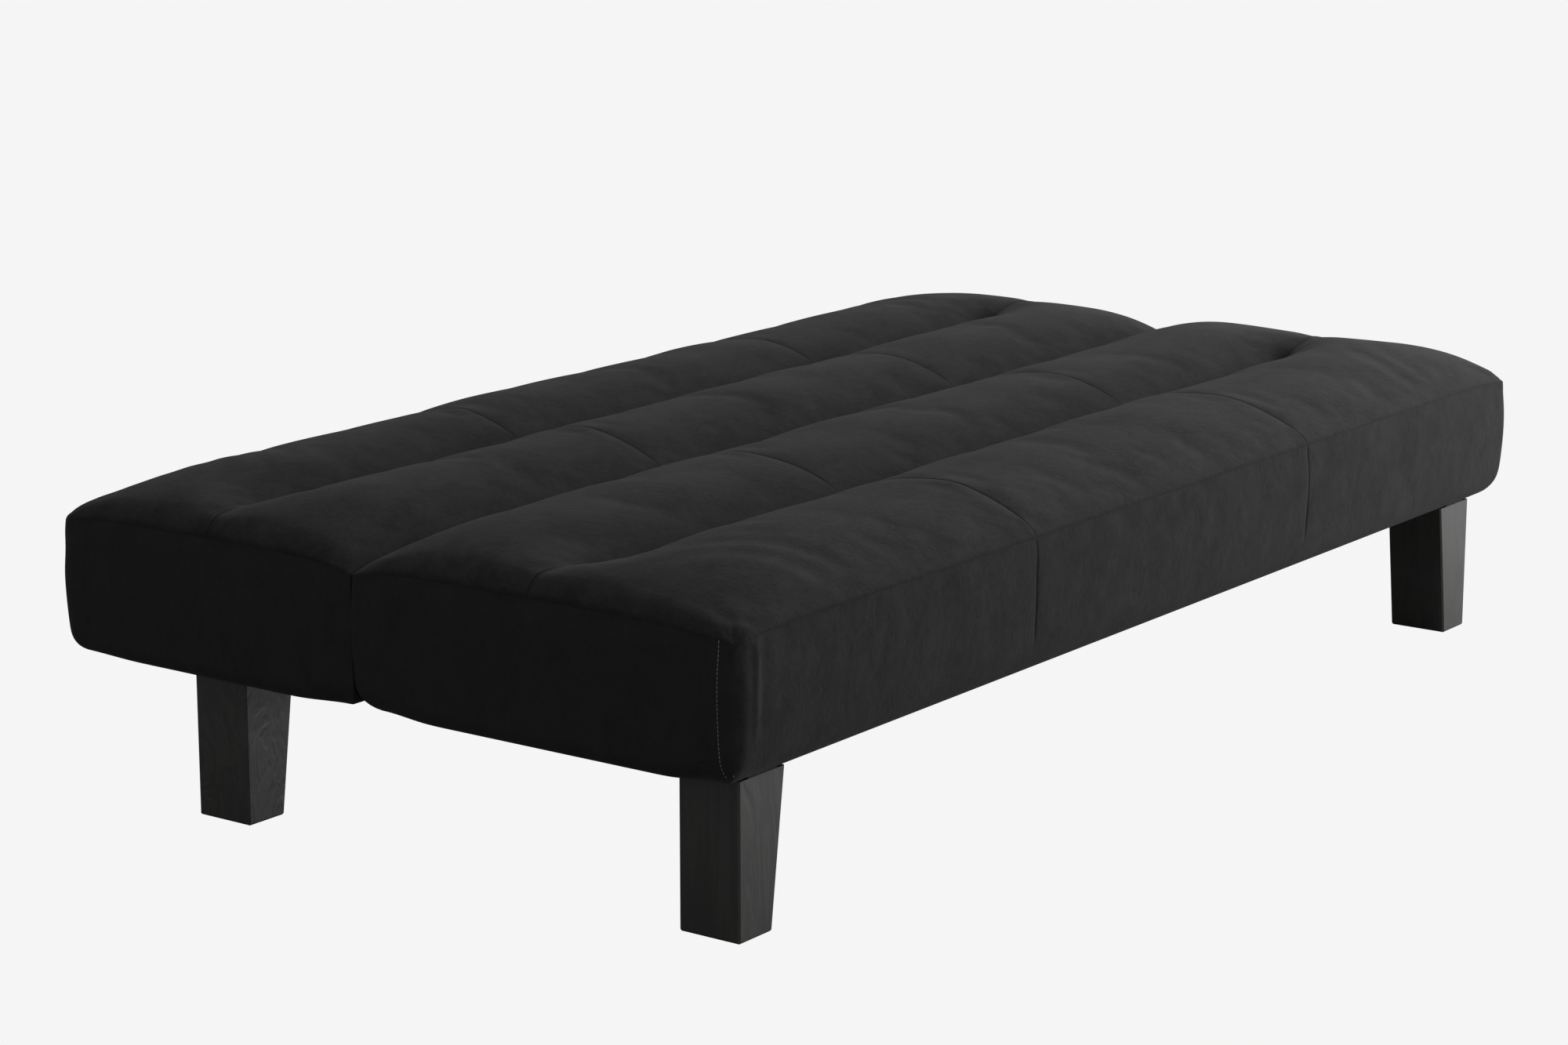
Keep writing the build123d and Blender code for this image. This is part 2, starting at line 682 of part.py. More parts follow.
def turned(point, centre, angle):
    """A (y, z) point turned about a centre."""
    turn = math.radians(angle)
    dy, dz = point[0] - centre[0], point[1] - centre[1]
    return (
        centre[0] + dy * math.cos(turn) - dz * math.sin(turn),
        centre[1] + dy * math.sin(turn) + dz * math.cos(turn),
    )


pawl_pivot = polar(pawl_pivot_r, pawl_pivot_angle)
pawl_heel = polar(pawl_heel_r, pawl_heel_angle)


def pawl_nose(grow):
    """Corners of the pawl's hooked nose, lifted, with `grow` of extra width and reach."""
    tip = ratchet_r + pawl_lift - grow
    spread = math.degrees((pawl_nose_half + grow) / ratchet_r)
    root_spread = math.degrees((pawl_nose_half + grow + pawl_nose_taper) / ratchet_r)
    return (
        polar(tip, pawl_nose_angle - spread),
        polar(tip, pawl_nose_angle + spread),
        polar(pawl_heel_r, pawl_nose_angle + root_spread + pawl_nose_lean),
        polar(pawl_heel_r, pawl_nose_angle - root_spread),
    )


def link_sketch(start, start_r, end, end_r):
    """Flat link with round ends."""
    with Locations(start):
        Circle(start_r)
    with Locations(end):
        Circle(end_r)
    make_hull()


def arm_outline(elbow, direction):
    """Outline shared by both hinge arms: an eye, a sloping link and a straight bar along the joist."""
    half_bar = arm_bar_height / 2
    with BuildSketch(mode=Mode.PRIVATE) as sloping:
        link_sketch((y_pivot, z_pivot), eye_r, elbow, half_bar)
    with BuildSketch(mode=Mode.PRIVATE) as bar:
        link_sketch(elbow, half_bar, (elbow[0] + direction * arm_bar_length, elbow[1]), half_bar)
    add(sloping.sketch)
    add(bar.sketch)


def make_hinges():
    """Seat arm with its ratchet, back arm, pawl and pins, at both ends of the bed."""
    for side, sign in sides:
        seat_plane = side_plane.offset(sign * (seat_arm_x + arm_t / 2))
        back_plane = side_plane.offset(sign * (back_arm_x + arm_t / 2))

        with BuildPart() as seat_arm:
            with BuildSketch(seat_plane):
                arm_outline(seat_elbow, -1)
                with BuildLine():
                    start, end = polar(ratchet_r, ratchet_start), polar(ratchet_r, ratchet_end)
                    middle = polar(ratchet_r, (ratchet_start + ratchet_end) / 2)
                    ThreePointArc(start, middle, end)
                    Polyline(end, (y_pivot, z_pivot), start)
                make_face()
                for k in range(tooth_count):
                    notch = [turned(p, pawl_pivot, -pawl_throw) for p in pawl_nose(notch_play)]
                    notch = [turned(p, (y_pivot, z_pivot), tooth_pitch * k) for p in notch]
                    with BuildLine():
                        Polyline(*notch, close=True)
                    make_face(mode=Mode.SUBTRACT)
                with Locations((y_pivot, z_pivot)):
                    Circle(pin_r, mode=Mode.SUBTRACT)
                with Locations(*[(y, seat_elbow[1]) for y in arm_screw_ys(seat_elbow[0], -1)]):
                    Circle(arm_screw_r + hole_play, mode=Mode.SUBTRACT)
            extrude(amount=arm_t / 2, both=True)
        write(seat_arm, f"hinge_seat_arm_{side}")

        with BuildPart() as back_arm:
            with BuildSketch(back_plane):
                arm_outline(back_elbow, 1)
                with Locations((y_pivot, z_pivot)):
                    Circle(pin_r + pin_play, mode=Mode.SUBTRACT)
                with Locations(pawl_pivot):
                    Circle(pawl_pin_r, mode=Mode.SUBTRACT)
                with Locations(*[(y, back_elbow[1]) for y in arm_screw_ys(back_elbow[0], 1)]):
                    Circle(arm_screw_r + hole_play, mode=Mode.SUBTRACT)
            extrude(amount=arm_t / 2, both=True)
        write(back_arm, f"hinge_back_arm_{side}")

        with BuildPart() as pin:
            x_in, x_out = back_arm_x - pin_play, seat_arm_x + arm_t
            x_low, x_high = sorted((sign * x_in, sign * x_out))
            cylinder_along_x(x_low, x_high, y_pivot, z_pivot, pin_r)
            for face, way in ((x_in, -1), (x_out, 1)):
                low, high = sorted((sign * face, sign * (face + way * pin_head_t)))
                cylinder_along_x(low, high, y_pivot, z_pivot, pin_head_r)
        write(pin, f"hinge_pin_{side}")

        with BuildPart() as pawl:
            with BuildSketch(seat_plane):
                link_sketch(pawl_pivot, pawl_eye_r, pawl_heel, pawl_heel_size)
                with BuildLine():
                    Polyline(*pawl_nose(0), close=True)
                make_face()
                with Locations(pawl_pivot):
                    Circle(pawl_pin_r + pin_play, mode=Mode.SUBTRACT)
            extrude(amount=arm_t / 2, both=True)
        write(pawl, f"pawl_{side}")

        with BuildPart() as pawl_pin:
            x_in, x_out = back_arm_x, seat_arm_x + arm_t + arm_gap
            x_low, x_high = sorted((sign * x_in, sign * x_out))
            cylinder_along_x(x_low, x_high, *pawl_pivot, pawl_pin_r)
            low, high = sorted((sign * x_out, sign * (x_out + pin_head_t)))
            cylinder_along_x(low, high, *pawl_pivot, pawl_pin_head_r)
        write(pawl_pin, f"pawl_pin_{side}")

    make_arm_screws("seat", seat_arm_x + arm_t, -1, seat_elbow, -1)
    make_arm_screws("back", back_arm_x, 1, back_elbow, 1)


def make_arm_screws(name, joist_face, head_way, elbow, direction):
    """Screws that hold the hinge arms to the joists of one box."""
    arm_face = joist_face + head_way * arm_t
    tip = joist_face - head_way * (arm_screw_length - arm_t)
    with BuildPart() as screws:
        for _, sign in sides:
            for y in arm_screw_ys(elbow[0], direction):
                low, high = sorted((sign * tip, sign * arm_face))
                cylinder_along_x(low, high, y, elbow[1], arm_screw_r)
                low, high = sorted((sign * arm_face, sign * (arm_face + head_way * arm_screw_head_t)))
                cylinder_along_x(low, high, y, elbow[1], arm_screw_head_r)
    write(screws, f"{name}_arm_screws")


os.makedirs("parts", exist_ok=True)
for half in (seat, back):
    make_upholstery(half)
    make_box_frame(half)
    make_springs(half)
make_legs()
make_leg_rails()
make_hinges()
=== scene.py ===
import json
import bpy
import numpy as np
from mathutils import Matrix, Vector
from mathutils.bvhtree import BVHTree


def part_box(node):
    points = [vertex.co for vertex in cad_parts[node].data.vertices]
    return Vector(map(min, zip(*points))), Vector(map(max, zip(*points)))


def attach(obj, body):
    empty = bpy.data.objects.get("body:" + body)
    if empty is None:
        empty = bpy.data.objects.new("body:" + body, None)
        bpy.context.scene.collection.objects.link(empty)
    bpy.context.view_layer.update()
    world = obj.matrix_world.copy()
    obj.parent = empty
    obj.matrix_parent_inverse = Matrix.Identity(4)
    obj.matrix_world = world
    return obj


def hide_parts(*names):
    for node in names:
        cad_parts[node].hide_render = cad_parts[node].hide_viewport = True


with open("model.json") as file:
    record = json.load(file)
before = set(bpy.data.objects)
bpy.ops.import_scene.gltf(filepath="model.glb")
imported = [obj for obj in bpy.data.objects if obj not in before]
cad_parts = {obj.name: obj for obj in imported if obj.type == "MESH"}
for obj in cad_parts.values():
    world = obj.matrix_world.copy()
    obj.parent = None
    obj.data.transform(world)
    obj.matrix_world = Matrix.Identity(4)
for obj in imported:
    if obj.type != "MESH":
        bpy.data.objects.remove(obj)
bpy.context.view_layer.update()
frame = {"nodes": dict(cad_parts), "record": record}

nodes = frame["nodes"]

# ---------------------------------------------------------------- studio
# A low three-quarter view from the left front, a plain pale floor, and soft light from the right front
# and from above, so the left end of the bed stays in shade.
camera = bpy.data.objects.new("camera", bpy.data.cameras.new("camera"))
bpy.context.scene.collection.objects.link(camera)
camera.location = (-3.952, -2.796, 1.356)
camera.rotation_euler = Vector((0.7864, 0.5754, -0.2248)).to_track_quat("-Z", "Y").to_euler()
camera.data.sensor_width = 36.0
camera.data.lens = 89.9
bpy.context.scene.camera = camera
bpy.context.scene.view_settings.view_transform = "Standard"

world = bpy.data.worlds.new("studio")
bpy.context.scene.world = world
world.use_nodes = True
world_nodes, world_links = world.node_tree.nodes, world.node_tree.links
sky = world_nodes["Background"]
sky.inputs["Color"].default_value = (0.915, 0.915, 0.915, 1)
sky.inputs["Strength"].default_value = 0.28
backdrop = world_nodes.new("ShaderNodeBackground")
backdrop.inputs["Color"].default_value = (0.915, 0.915, 0.915, 1)
world_mix = world_nodes.new("ShaderNodeMixShader")
world_path = world_nodes.new("ShaderNodeLightPath")
world_links.new(world_path.outputs["Is Camera Ray"], world_mix.inputs[0])
world_links.new(sky.outputs[0], world_mix.inputs[1])
world_links.new(backdrop.outputs[0], world_mix.inputs[2])
world_links.new(world_mix.outputs[0], world_nodes["World Output"].inputs[0])


def soft_light(name, place, target, size, power):
    """A rectangular area lamp, `size` metres wide and high, turned from its place towards a target."""
    lamp = bpy.data.objects.new(name, bpy.data.lights.new(name, "AREA"))
    lamp.data.shape = "RECTANGLE"
    lamp.data.size, lamp.data.size_y = size
    lamp.data.energy = power
    lamp.location = place
    lamp.rotation_euler = (Vector(target) - Vector(place)).to_track_quat("-Z", "Y").to_euler()
    bpy.context.scene.collection.objects.link(lamp)


soft_light("key", (3.0, -1.75, 1.45), (0.7, -0.1, 0.25), (2.0, 1.8), 27)
soft_light("top", (2.2, 0.4, 2.4), (0.6, 0.1, 0.3), (2.2, 2.2), 9.5)
soft_light("low", (3.2, -3.0, 0.26), (0.1, 0.0, 0.17), (3.6, 0.46), 40)
soft_light("far", (1.9, -1.15, 0.75), (0.8, -0.2, 0.3), (0.7, 0.7), 6.0)
soft_light("front", (-0.55, -3.6, 0.32), (-0.6, 0.0, 0.15), (0.5, 0.5), 4.5)

floor_mesh = bpy.data.meshes.new("floor")
floor_mesh.from_pydata([(-60, -60, 0), (60, -60, 0), (60, 60, 0), (-60, 60, 0)], [], [(0, 1, 2, 3)])
floor = bpy.data.objects.new("floor", floor_mesh)
bpy.context.scene.collection.objects.link(floor)
paper = bpy.data.materials.new("pale paper")
paper.use_nodes = True
paper_nodes, paper_links = paper.node_tree.nodes, paper.node_tree.links
paper_matt = paper_nodes["Principled BSDF"]
paper_matt.inputs["Base Color"].default_value = (0.16, 0.16, 0.16, 1)
paper_matt.inputs["Roughness"].default_value = 1.0
paper_glow = paper_nodes.new("ShaderNodeEmission")
paper_glow.inputs["Color"].default_value = (0.915, 0.915, 0.915, 1)
paper_mix = paper_nodes.new("ShaderNodeMixShader")
paper_path = paper_nodes.new("ShaderNodeLightPath")
paper_links.new(paper_path.outputs["Is Camera Ray"], paper_mix.inputs[0])
paper_links.new(paper_matt.outputs[0], paper_mix.inputs[1])
paper_links.new(paper_glow.outputs[0], paper_mix.inputs[2])
paper_links.new(paper_mix.outputs[0], paper_nodes["Material Output"].inputs[0])
floor_mesh.materials.append(paper)


# ---------------------------------------------------------------- microfibre covers
# Two stuffed boxes sewn from charcoal suede-like microfibre. Each has a top panel, quilted down along one
# long channel and seamed across at two places, and a plain border that is turned under the box.
def shader(name):
    """An empty node material and short ways to add nodes and links to it."""
    material = bpy.data.materials.new(name)
    material.use_nodes = True
    tree = material.node_tree

    def node(kind, **values):
        made = tree.nodes.new(kind)
        for key, value in values.items():
            if key in made.inputs:
                made.inputs[key].default_value = value
            else:
                setattr(made, key, value)
        return made

    return material, tree.nodes["Principled BSDF"], node, tree.links.new


def two_tone(node, dark, light, dark_at, light_at):
    """Colour ramp from a dark tone to a light one between two values of its input."""
    ramp = node("ShaderNodeValToRGB")
    low, high = ramp.color_ramp.elements
    low.position, low.color = dark_at, (*dark, 1)
    high.position, high.color = light_at, (*light, 1)
    return ramp


def microfibre(name, stretch, dark, light):
    """Napped microfibre: colour and roughness drift in soft streaks stretched along one axis, as a hand
    leaves them in the nap, over a fine even grain. `stretch` is the noise scale along X, Y and Z."""
    material, skin, node, link = shader(name)
    place = node("ShaderNodeTexCoord")
    streaks = node("ShaderNodeMapping")
    streaks.inputs["Scale"].default_value = stretch
    link(place.outputs["Object"], streaks.inputs["Vector"])
    drift = node("ShaderNodeTexNoise", Scale=1.0, Detail=5.0, Roughness=0.62, Distortion=0.6)
    link(streaks.outputs[0], drift.inputs["Vector"])
    strokes = node("ShaderNodeTexNoise", Scale=3.4, Detail=6.0, Roughness=0.7, Distortion=1.2)
    link(streaks.outputs[0], strokes.inputs["Vector"])
    grain = node("ShaderNodeTexNoise", Scale=900.0, Detail=2.0, Roughness=0.6)
    link(place.outputs["Object"], grain.inputs["Vector"])
    mix = node("ShaderNodeMix", data_type="FLOAT")
    mix.inputs["Factor"].default_value = 0.5
    link(drift.outputs["Fac"], mix.inputs["A"])
    link(strokes.outputs["Fac"], mix.inputs["B"])
    ramp = two_tone(node, dark, light, 0.38, 0.62)
    link(mix.outputs["Result"], ramp.inputs["Fac"])
    # Painted shade: the base colour is darkened down to half where the point attribute marks the seams, the
    # creases beside them and the puckers.
    seam_shade_attribute = node("ShaderNodeAttribute", attribute_name="seam")
    shade = node("ShaderNodeMapRange")
    shade.inputs["To Min"].default_value = 1.0
    shade.inputs["To Max"].default_value = 0.5
    link(seam_shade_attribute.outputs["Fac"], shade.inputs["Value"])
    darken = node("ShaderNodeVectorMath", operation="SCALE")
    link(ramp.outputs["Color"], darken.inputs[0])
    link(shade.outputs["Result"], darken.inputs["Scale"])
    link(darken.outputs[0], skin.inputs["Base Color"])
    rough = node("ShaderNodeMapRange")
    rough.inputs["To Min"].default_value = 0.82
    rough.inputs["To Max"].default_value = 0.97
    link(strokes.outputs["Fac"], rough.inputs["Value"])
    link(rough.outputs["Result"], skin.inputs["Roughness"])
    skin.inputs["Specular IOR Level"].default_value = 0.25
    skin.inputs["Sheen Weight"].default_value = 0.12
    skin.inputs["Sheen Roughness"].default_value = 0.45
    skin.inputs["Sheen Tint"].default_value = (0.8, 0.8, 0.82, 1)
    nap = node("ShaderNodeBump", Strength=0.35, Distance=0.0006)
    link(grain.outputs["Fac"], nap.inputs["Height"])
    brushed = node("ShaderNodeBump", Strength=0.25, Distance=0.004)
    link(strokes.outputs["Fac"], brushed.inputs["Height"])
    link(nap.outputs["Normal"], brushed.inputs["Normal"])
    link(brushed.outputs["Normal"], skin.inputs["Normal"])
    return material


nap_dark, nap_light = (0.021, 0.0205, 0.0205), (0.040, 0.0395, 0.0395)
top_cloth = microfibre("microfibre brushed along", (21.0, 25.0, 25.0), nap_dark, nap_light)
side_cloth = microfibre("microfibre brushed down", (25.0, 25.0, 17.0), nap_dark, nap_light)
even_dark, even_light = (0.0255, 0.025, 0.025), (0.0345, 0.034, 0.034)
end_cloth = microfibre("microfibre on the ends", (25.0, 25.0, 17.0), even_dark, even_light)


def smooth(t):
    """Cubic step from 0 to 1."""
    t = np.clip(t, 0.0, 1.0)
    return t * t * (3.0 - 2.0 * t)


def bump(distance, width):
    """Bell curve of height one."""
    return np.exp(-((distance / width) ** 2))


def lines(limit, pitch, marks, corner, spread=(0.0008, 0.0018, 0.0036, 0.0070)):
    """Grid lines from 0 to a limit, about a pitch apart, with extra ones spread close beside each mark and
    at the distances `corner` from both ends."""
    even = np.linspace(0.0, limit, int(round(limit / pitch)) + 1)
    extra = np.array([mark + side * d for mark in marks for d in (0.0, *spread) for side in (-1, 1)])
    keep = np.array([all(abs(line - mark) > spread[-1] * 1.35 for mark in marks) for line in even])
    keep[0] = keep[-1] = True
    extra = np.concatenate([extra, corner, limit - corner])
    nearest = spread[0] / 2
    extra = extra[(extra > nearest) & (extra < limit - nearest)]
    return np.unique(np.round(np.concatenate([even[keep], extra]), 4))


bed_length = 1.760
underside = 0.180
seam_height = 0.350
crown_rise = 0.0385
end_lip, end_shoulder = 0.024, 0.190  # how far in the crown's round lip and its long slope reach
outer_lip, outer_shoulder = 0.022, 0.138
crease_lip, crease_shoulder = 0.018, 0.120
channel_depth, channel_reach = 0.0335, 0.118
left_knot, right_knot = 0.112, 0.158  # from the bed's end to the knot where the channel runs out
arc_radius, arc_pitch = 0.19, 0.047  # curved folds round each outer corner
cross_seams = (0.565, 1.195)


class Box:
    """Measures of one stuffed box, from its outer edge to the crease, in metres."""

    def __init__(self, name, outer_y, inward, depth, channel, foot_radius, swell):
        self.name, self.outer_y, self.inward, self.depth = name, outer_y, inward, depth
        self.channel, self.foot_radius, self.swell = channel, foot_radius, swell


seat_box = Box("seat", -0.4875, 1, 0.5241, 0.2655, 0.044, 0.000)
back_box = Box("back", 0.4875, -1, 0.4501, 0.2215, 0.030, 0.006)
outer_corner, crease_corner = 0.020, 0.0025  # radii of the upright corners
crease_foot, end_foot = 0.037, 0.022  # radii of the bottom edges in the crease and on the ends
foot_blend = 0.10  # over which an end's foot meets the outer and the crease foot
smallest_corner = 0.002
border_bulge = 0.0032
front_folds = ((0.0345, 0.0048, 0.0024), (0.058, 0.008, 0.0014))  # place from the left end, width, depth
cross_pulls = ((0.0016, 0.0010), (0.016, 0.0003))  # width and depth of a cross seam on the front border


def seam_line(box, x, s):
    """Height of the sewn edge between the top panel and the border: it dips to every corner."""
    along = np.clip(np.abs(2 * s / box.depth - 1), 0, 1)
    across = np.clip(np.abs(2 * x / bed_length - 1), 0, 1)
    return 0.0065 - 0.010 * along**5 - 0.007 * across**24


def edge_rise(distance, lip, lip_share, shoulder):
    """Rise of the crown away from a seam, 0 to 1: a round lip (quarter circle) plus a long parabola."""
    lip_part = np.sqrt(1 - (1 - np.clip(distance / lip, 0, 1)) ** 2)
    return lip_share * lip_part + (1 - lip_share) * (1 - (1 - np.clip(distance / shoulder, 0, 1)) ** 2)


def channel_line(box, x):
    """Where the channel seam runs: straight, but drifting a little towards the crease at the ends."""
    return box.channel + 0.010 * (1 - smooth(np.minimum(x, bed_length - x) / 0.11))


def top_height(box, x, s):
    """Height of the top panel: a crown that rises from every edge seam, pulled down in a V along the
    channel. Each end of the channel runs out in a knot before the border, deeper and further in at the
    right end, with folds gathered round it. From the knot on, a thin ridge follows the seam to the border.
    Curved folds cross each outer strip near its ends, and the panel is puckered at the outer corners."""
    end = np.minimum(x, bed_length - x)
    ends = edge_rise(end, end_lip, 0.50, end_shoulder)
    outer = edge_rise(s, outer_lip, 0.22, outer_shoulder)
    crease = edge_rise(box.depth - s, crease_lip, 0.16, crease_shoulder)
    away = s - channel_line(box, x)
    gap = np.abs(away)
    left = x < bed_length / 2
    knot = np.where(left, left_knot, right_knot)
    reach = end - knot
    run = np.where(left, smooth((end - 0.005) / 0.165), smooth((end - 0.080) / 0.105))
    channel = -channel_depth * run * (1 - np.clip(gap / channel_reach, 0, 1)) ** 2.4
    tail = smooth((end - 0.060) / 0.05)
    channel -= (0.0055 * tail * (1 - run) + 0.0015) * bump(gap, 0.016) * smooth(end / 0.03)
    channel -= np.where(left, 0.0048, 0.0105) * bump(reach, 0.016) * bump(gap, 0.011)
    angle = np.arctan2(away, reach)
    radius = np.hypot(away, reach)
    folds = 0.0011 * np.cos(7.0 * angle + 0.9) * bump(radius - 0.026, 0.017) * smooth(radius / 0.014)
    turn = np.arctan2(s, end)
    near = np.hypot(end - 0.02, s - 0.01) - arc_radius
    sweep = smooth((turn - 0.05) / 0.15) * smooth((1.35 - turn) / 0.3)
    arcs = 0.0008 * np.cos(near * 2 * np.pi / arc_pitch) * bump(near, 0.050) * sweep
    ridge = 0.0012 * bump(gap, 0.0016) - 0.0009 * bump(gap - 0.0044, 0.0022)
    seams = -0.0020 * bump(gap, 0.0020) * run + ridge * (1 - run) * smooth(end / 0.006)
    for cross in cross_seams:
        beside = np.abs(x - cross)
        open_top = smooth(gap / 0.02) * smooth((box.depth - s) / 0.02)
        seams = seams - (0.0008 * bump(beside, 0.0014) + 0.0002 * bump(beside, 0.014)) * open_top
    crown = crown_rise * ends * outer * crease
    pulled = 0.0019 * gathers(x, s)
    return seam_line(box, x, s) + crown + channel + folds + arcs + seams - pulled


def gathers(x, s):
    """Small puckers that fan out from each outer corner, where the panel is eased into the border: a cosine
    round the corner from 0 to 1, strongest 16 mm from it, and a fainter one 60 mm from it."""
    end = np.minimum(x, bed_length - x)
    turn = np.arctan2(s + 0.002, end + 0.002)
    away = np.hypot(end, s)
    fan = (0.5 + 0.5 * np.cos(17.0 * turn + 0.6)) * bump(away - 0.016, 0.012)
    return fan + 0.35 * (0.5 + 0.5 * np.cos(11.0 * turn + 2.0)) * bump(away - 0.060, 0.030)


def painted_seam_shade(box, x, s):
    """How much painted shade darkens each point of the top panel, 0 to 1, standing for the shade in the
    seams' creases and in the puckers, over the seam lines' own dark: along the channel line from border to
    border, across every strip at the cross seams, round the outline, and in the puckers."""
    end = np.minimum(x, bed_length - x)
    away = np.abs(s - channel_line(box, x))
    depth = np.maximum(0.8 * bump(away, 0.0013), 0.8 * gathers(x, s))
    for cross in cross_seams:
        depth = np.maximum(depth, 0.75 * bump(np.abs(x - cross), 0.0011) * smooth((box.depth - s) / 0.015))
    outline = np.minimum(np.minimum(end, s), box.depth - s)
    return np.maximum(depth, 0.7 * bump(outline, 0.0008))


def slack(x, y, z):
    """Slow unevenness of hand-filled upholstery: a sum of a few long waves, in metres."""
    waves = np.sin(9.1 * x + 4.0 * y + 1.3) + np.sin(-5.3 * x + 17.0 * y + 0.4)
    waves = waves + np.sin(15.7 * x - 9.0 * y + 2.1) + 0.6 * np.sin(27.0 * x + 21.0 * y + 30.0 * z)
    waves = waves + 0.5 * np.sin(41.0 * x - 33.0 * z + 12.0 * y)
    return 0.0008 * waves


def rounded(u, v, half_u, half_v, outer_radius, crease_radius):
    """Points of a rectangle (half sizes half_u by half_v) with its corner squares pressed into quarter discs,
    softer at the outer edge (low v) than in the crease (high v)."""
    radius = np.where(v < 0, outer_radius, crease_radius)
    du, dv = np.abs(u) - (half_u - radius), np.abs(v) - (half_v - radius)
    corner = (du > 0) & (dv > 0)
    reach = np.where(corner, np.maximum(du, dv) / np.maximum(np.hypot(du, dv), 1e-9), 1.0)
    new_u = np.where(corner, np.sign(u) * (half_u - radius + du * reach), u)
    new_v = np.where(corner, np.sign(v) * (half_v - radius + dv * reach), v)
    return new_u, new_v


def outline_of(grid):
    """The values round the outline of a grid, in the order the border is built."""
    return np.concatenate([grid[:, 0], grid[-1, 1:], grid[-2::-1, -1], grid[0, -2:0:-1]])


def make_shell(box, x_lines, s_lines, levels):
    """Closed skin of one box: the top panel on a grid; its outline carried down the border, under the
    box and up inside it along a profile of (inset, height) levels; and a flat floor under the foam.
    Returns points, faces, the material of each face (0 on the top panel, 2 on the two ends, 1 elsewhere)
    and how much painted shade darkens each point at the seams, in the creases and puckers and on the back
    box's bottom edge."""
    nx, ns = len(x_lines), len(s_lines)
    grid_x, grid_s = np.meshgrid(x_lines, s_lines, indexing="ij")
    drift = channel_line(box, grid_x) - box.channel
    grid_s = grid_s + drift * smooth(1 - np.abs(grid_s - box.channel) / 0.09)
    half_x, half_s = bed_length / 2, box.depth / 2
    u, v = rounded(grid_x - half_x, grid_s - half_s, half_x, half_s, outer_corner, crease_corner)
    height = seam_height + top_height(box, grid_x, grid_s)
    top = np.stack([u, v, height], -1)
    index = np.arange(nx * ns).reshape(nx, ns)
    ring = outline_of(index)
    ring_x, ring_s = grid_x.ravel()[ring], grid_s.ravel()[ring]
    count = len(ring)
    near_crease = smooth((ring_s / box.depth - 0.90) / 0.06)
    foot = box.foot_radius * (1 - near_crease) + crease_foot * near_crease
    ends = (ring_x < 1e-6) | (ring_x > bed_length - 1e-6)
    on_face = ring_s < 1e-6
    to_front = 1 - smooth(ring_s / foot_blend)
    to_crease = smooth((ring_s - box.depth) / foot_blend + 1)
    foot_there = end_foot + (box.foot_radius - end_foot) * to_front + (crease_foot - end_foot) * to_crease
    foot = np.where(ends, foot_there, foot)
    rows = []
    edge_z = height.ravel()[ring]
    for kind, value in levels:
        if kind == "side":
            inset = -border_bulge * np.sin(np.pi * value) * (ring_s < box.depth - 1e-6)
            z = edge_z * (1 - value) + (underside + foot) * value
        elif kind == "turn":
            inset = foot * (1 - np.cos(value * np.pi / 2))
            z = underside + foot * (1 - np.sin(value * np.pi / 2))
        else:
            inset, z = value[0] * np.ones(count), value[1] * np.ones(count)
        base_u = (ring_x - half_x) / half_x * (half_x - inset)
        base_v = (ring_s - half_s) / half_s * (half_s - inset)
        outer_radius = np.maximum(outer_corner - inset, smallest_corner)
        crease_radius = np.maximum(crease_corner - inset, smallest_corner)
        row_u, row_v = rounded(base_u, base_v, half_x - inset, half_s - inset, outer_radius, crease_radius)
        if kind == "side":
            for cross in cross_seams:
                pull = sum(depth * bump(ring_x - cross, width) for width, depth in cross_pulls)
                row_v = row_v + pull * on_face * smooth(value / 0.04)
            drape = sum(depth * bump(ring_x - place, width) for place, width, depth in front_folds)
            row_v = row_v - drape * on_face * smooth(value / 0.10) * smooth((1.0 - value) / 0.35)
        rows.append(np.stack([row_u, row_v, z], -1))
    inset, floor_z = levels[-1][1]
    inner = index[1:-1, 1:-1].ravel()
    scale_u, scale_v = (half_x - inset) / half_x, (half_s - inset) / half_s
    panel = np.stack([
        (grid_x.ravel()[inner] - half_x) * scale_u,
        (grid_s.ravel()[inner] - half_s) * scale_v,
        np.full(len(inner), floor_z),
    ], -1)
    points = np.concatenate([top.reshape(-1, 3), *rows, panel])
    top_faces = np.stack([index[:-1, :-1], index[1:, :-1], index[1:, 1:], index[:-1, 1:]], -1).reshape(-1, 4)
    rings = [ring] + [nx * ns + k * count + np.arange(count) for k in range(len(rows))]
    strips = [
        np.stack([a, np.roll(a, -1), np.roll(b, -1), b], -1)[:, ::-1]
        for a, b in zip(rings[:-1], rings[1:])
    ]
    bottom = np.empty(nx * ns, int)
    bottom[ring] = rings[-1]
    bottom[inner] = nx * ns + len(rows) * count + np.arange(len(inner))
    bottom_faces = bottom[top_faces][:, ::-1]
    faces = np.concatenate([top_faces, *strips, bottom_faces])
    border = np.tile(1 + (ends & np.roll(ends, -1)), len(strips))
    material = np.concatenate([np.zeros(len(top_faces), int), border, np.ones(len(bottom_faces), int)])
    local_u, local_v, local_z = points.T
    inwards = local_v + half_s
    world_y = box.outer_y + box.inward * inwards
    world_y = world_y - box.inward * box.swell * smooth((0.10 - inwards) / 0.10)
    points = np.stack([local_u, world_y, local_z], -1)
    if box.inward < 0:
        faces = faces[:, ::-1]
    seam = np.zeros(len(points))
    seam[: nx * ns] = painted_seam_shade(box, grid_x, grid_s).ravel()
    for k, (kind, value) in enumerate(levels):
        start = nx * ns + k * count
        if kind == "side":
            # Painted shade in the creases where the cross seams pull the front border in.
            for cross in cross_seams:
                seam[start:start + count] += 0.8 * bump(ring_x - cross, 0.0011) * on_face
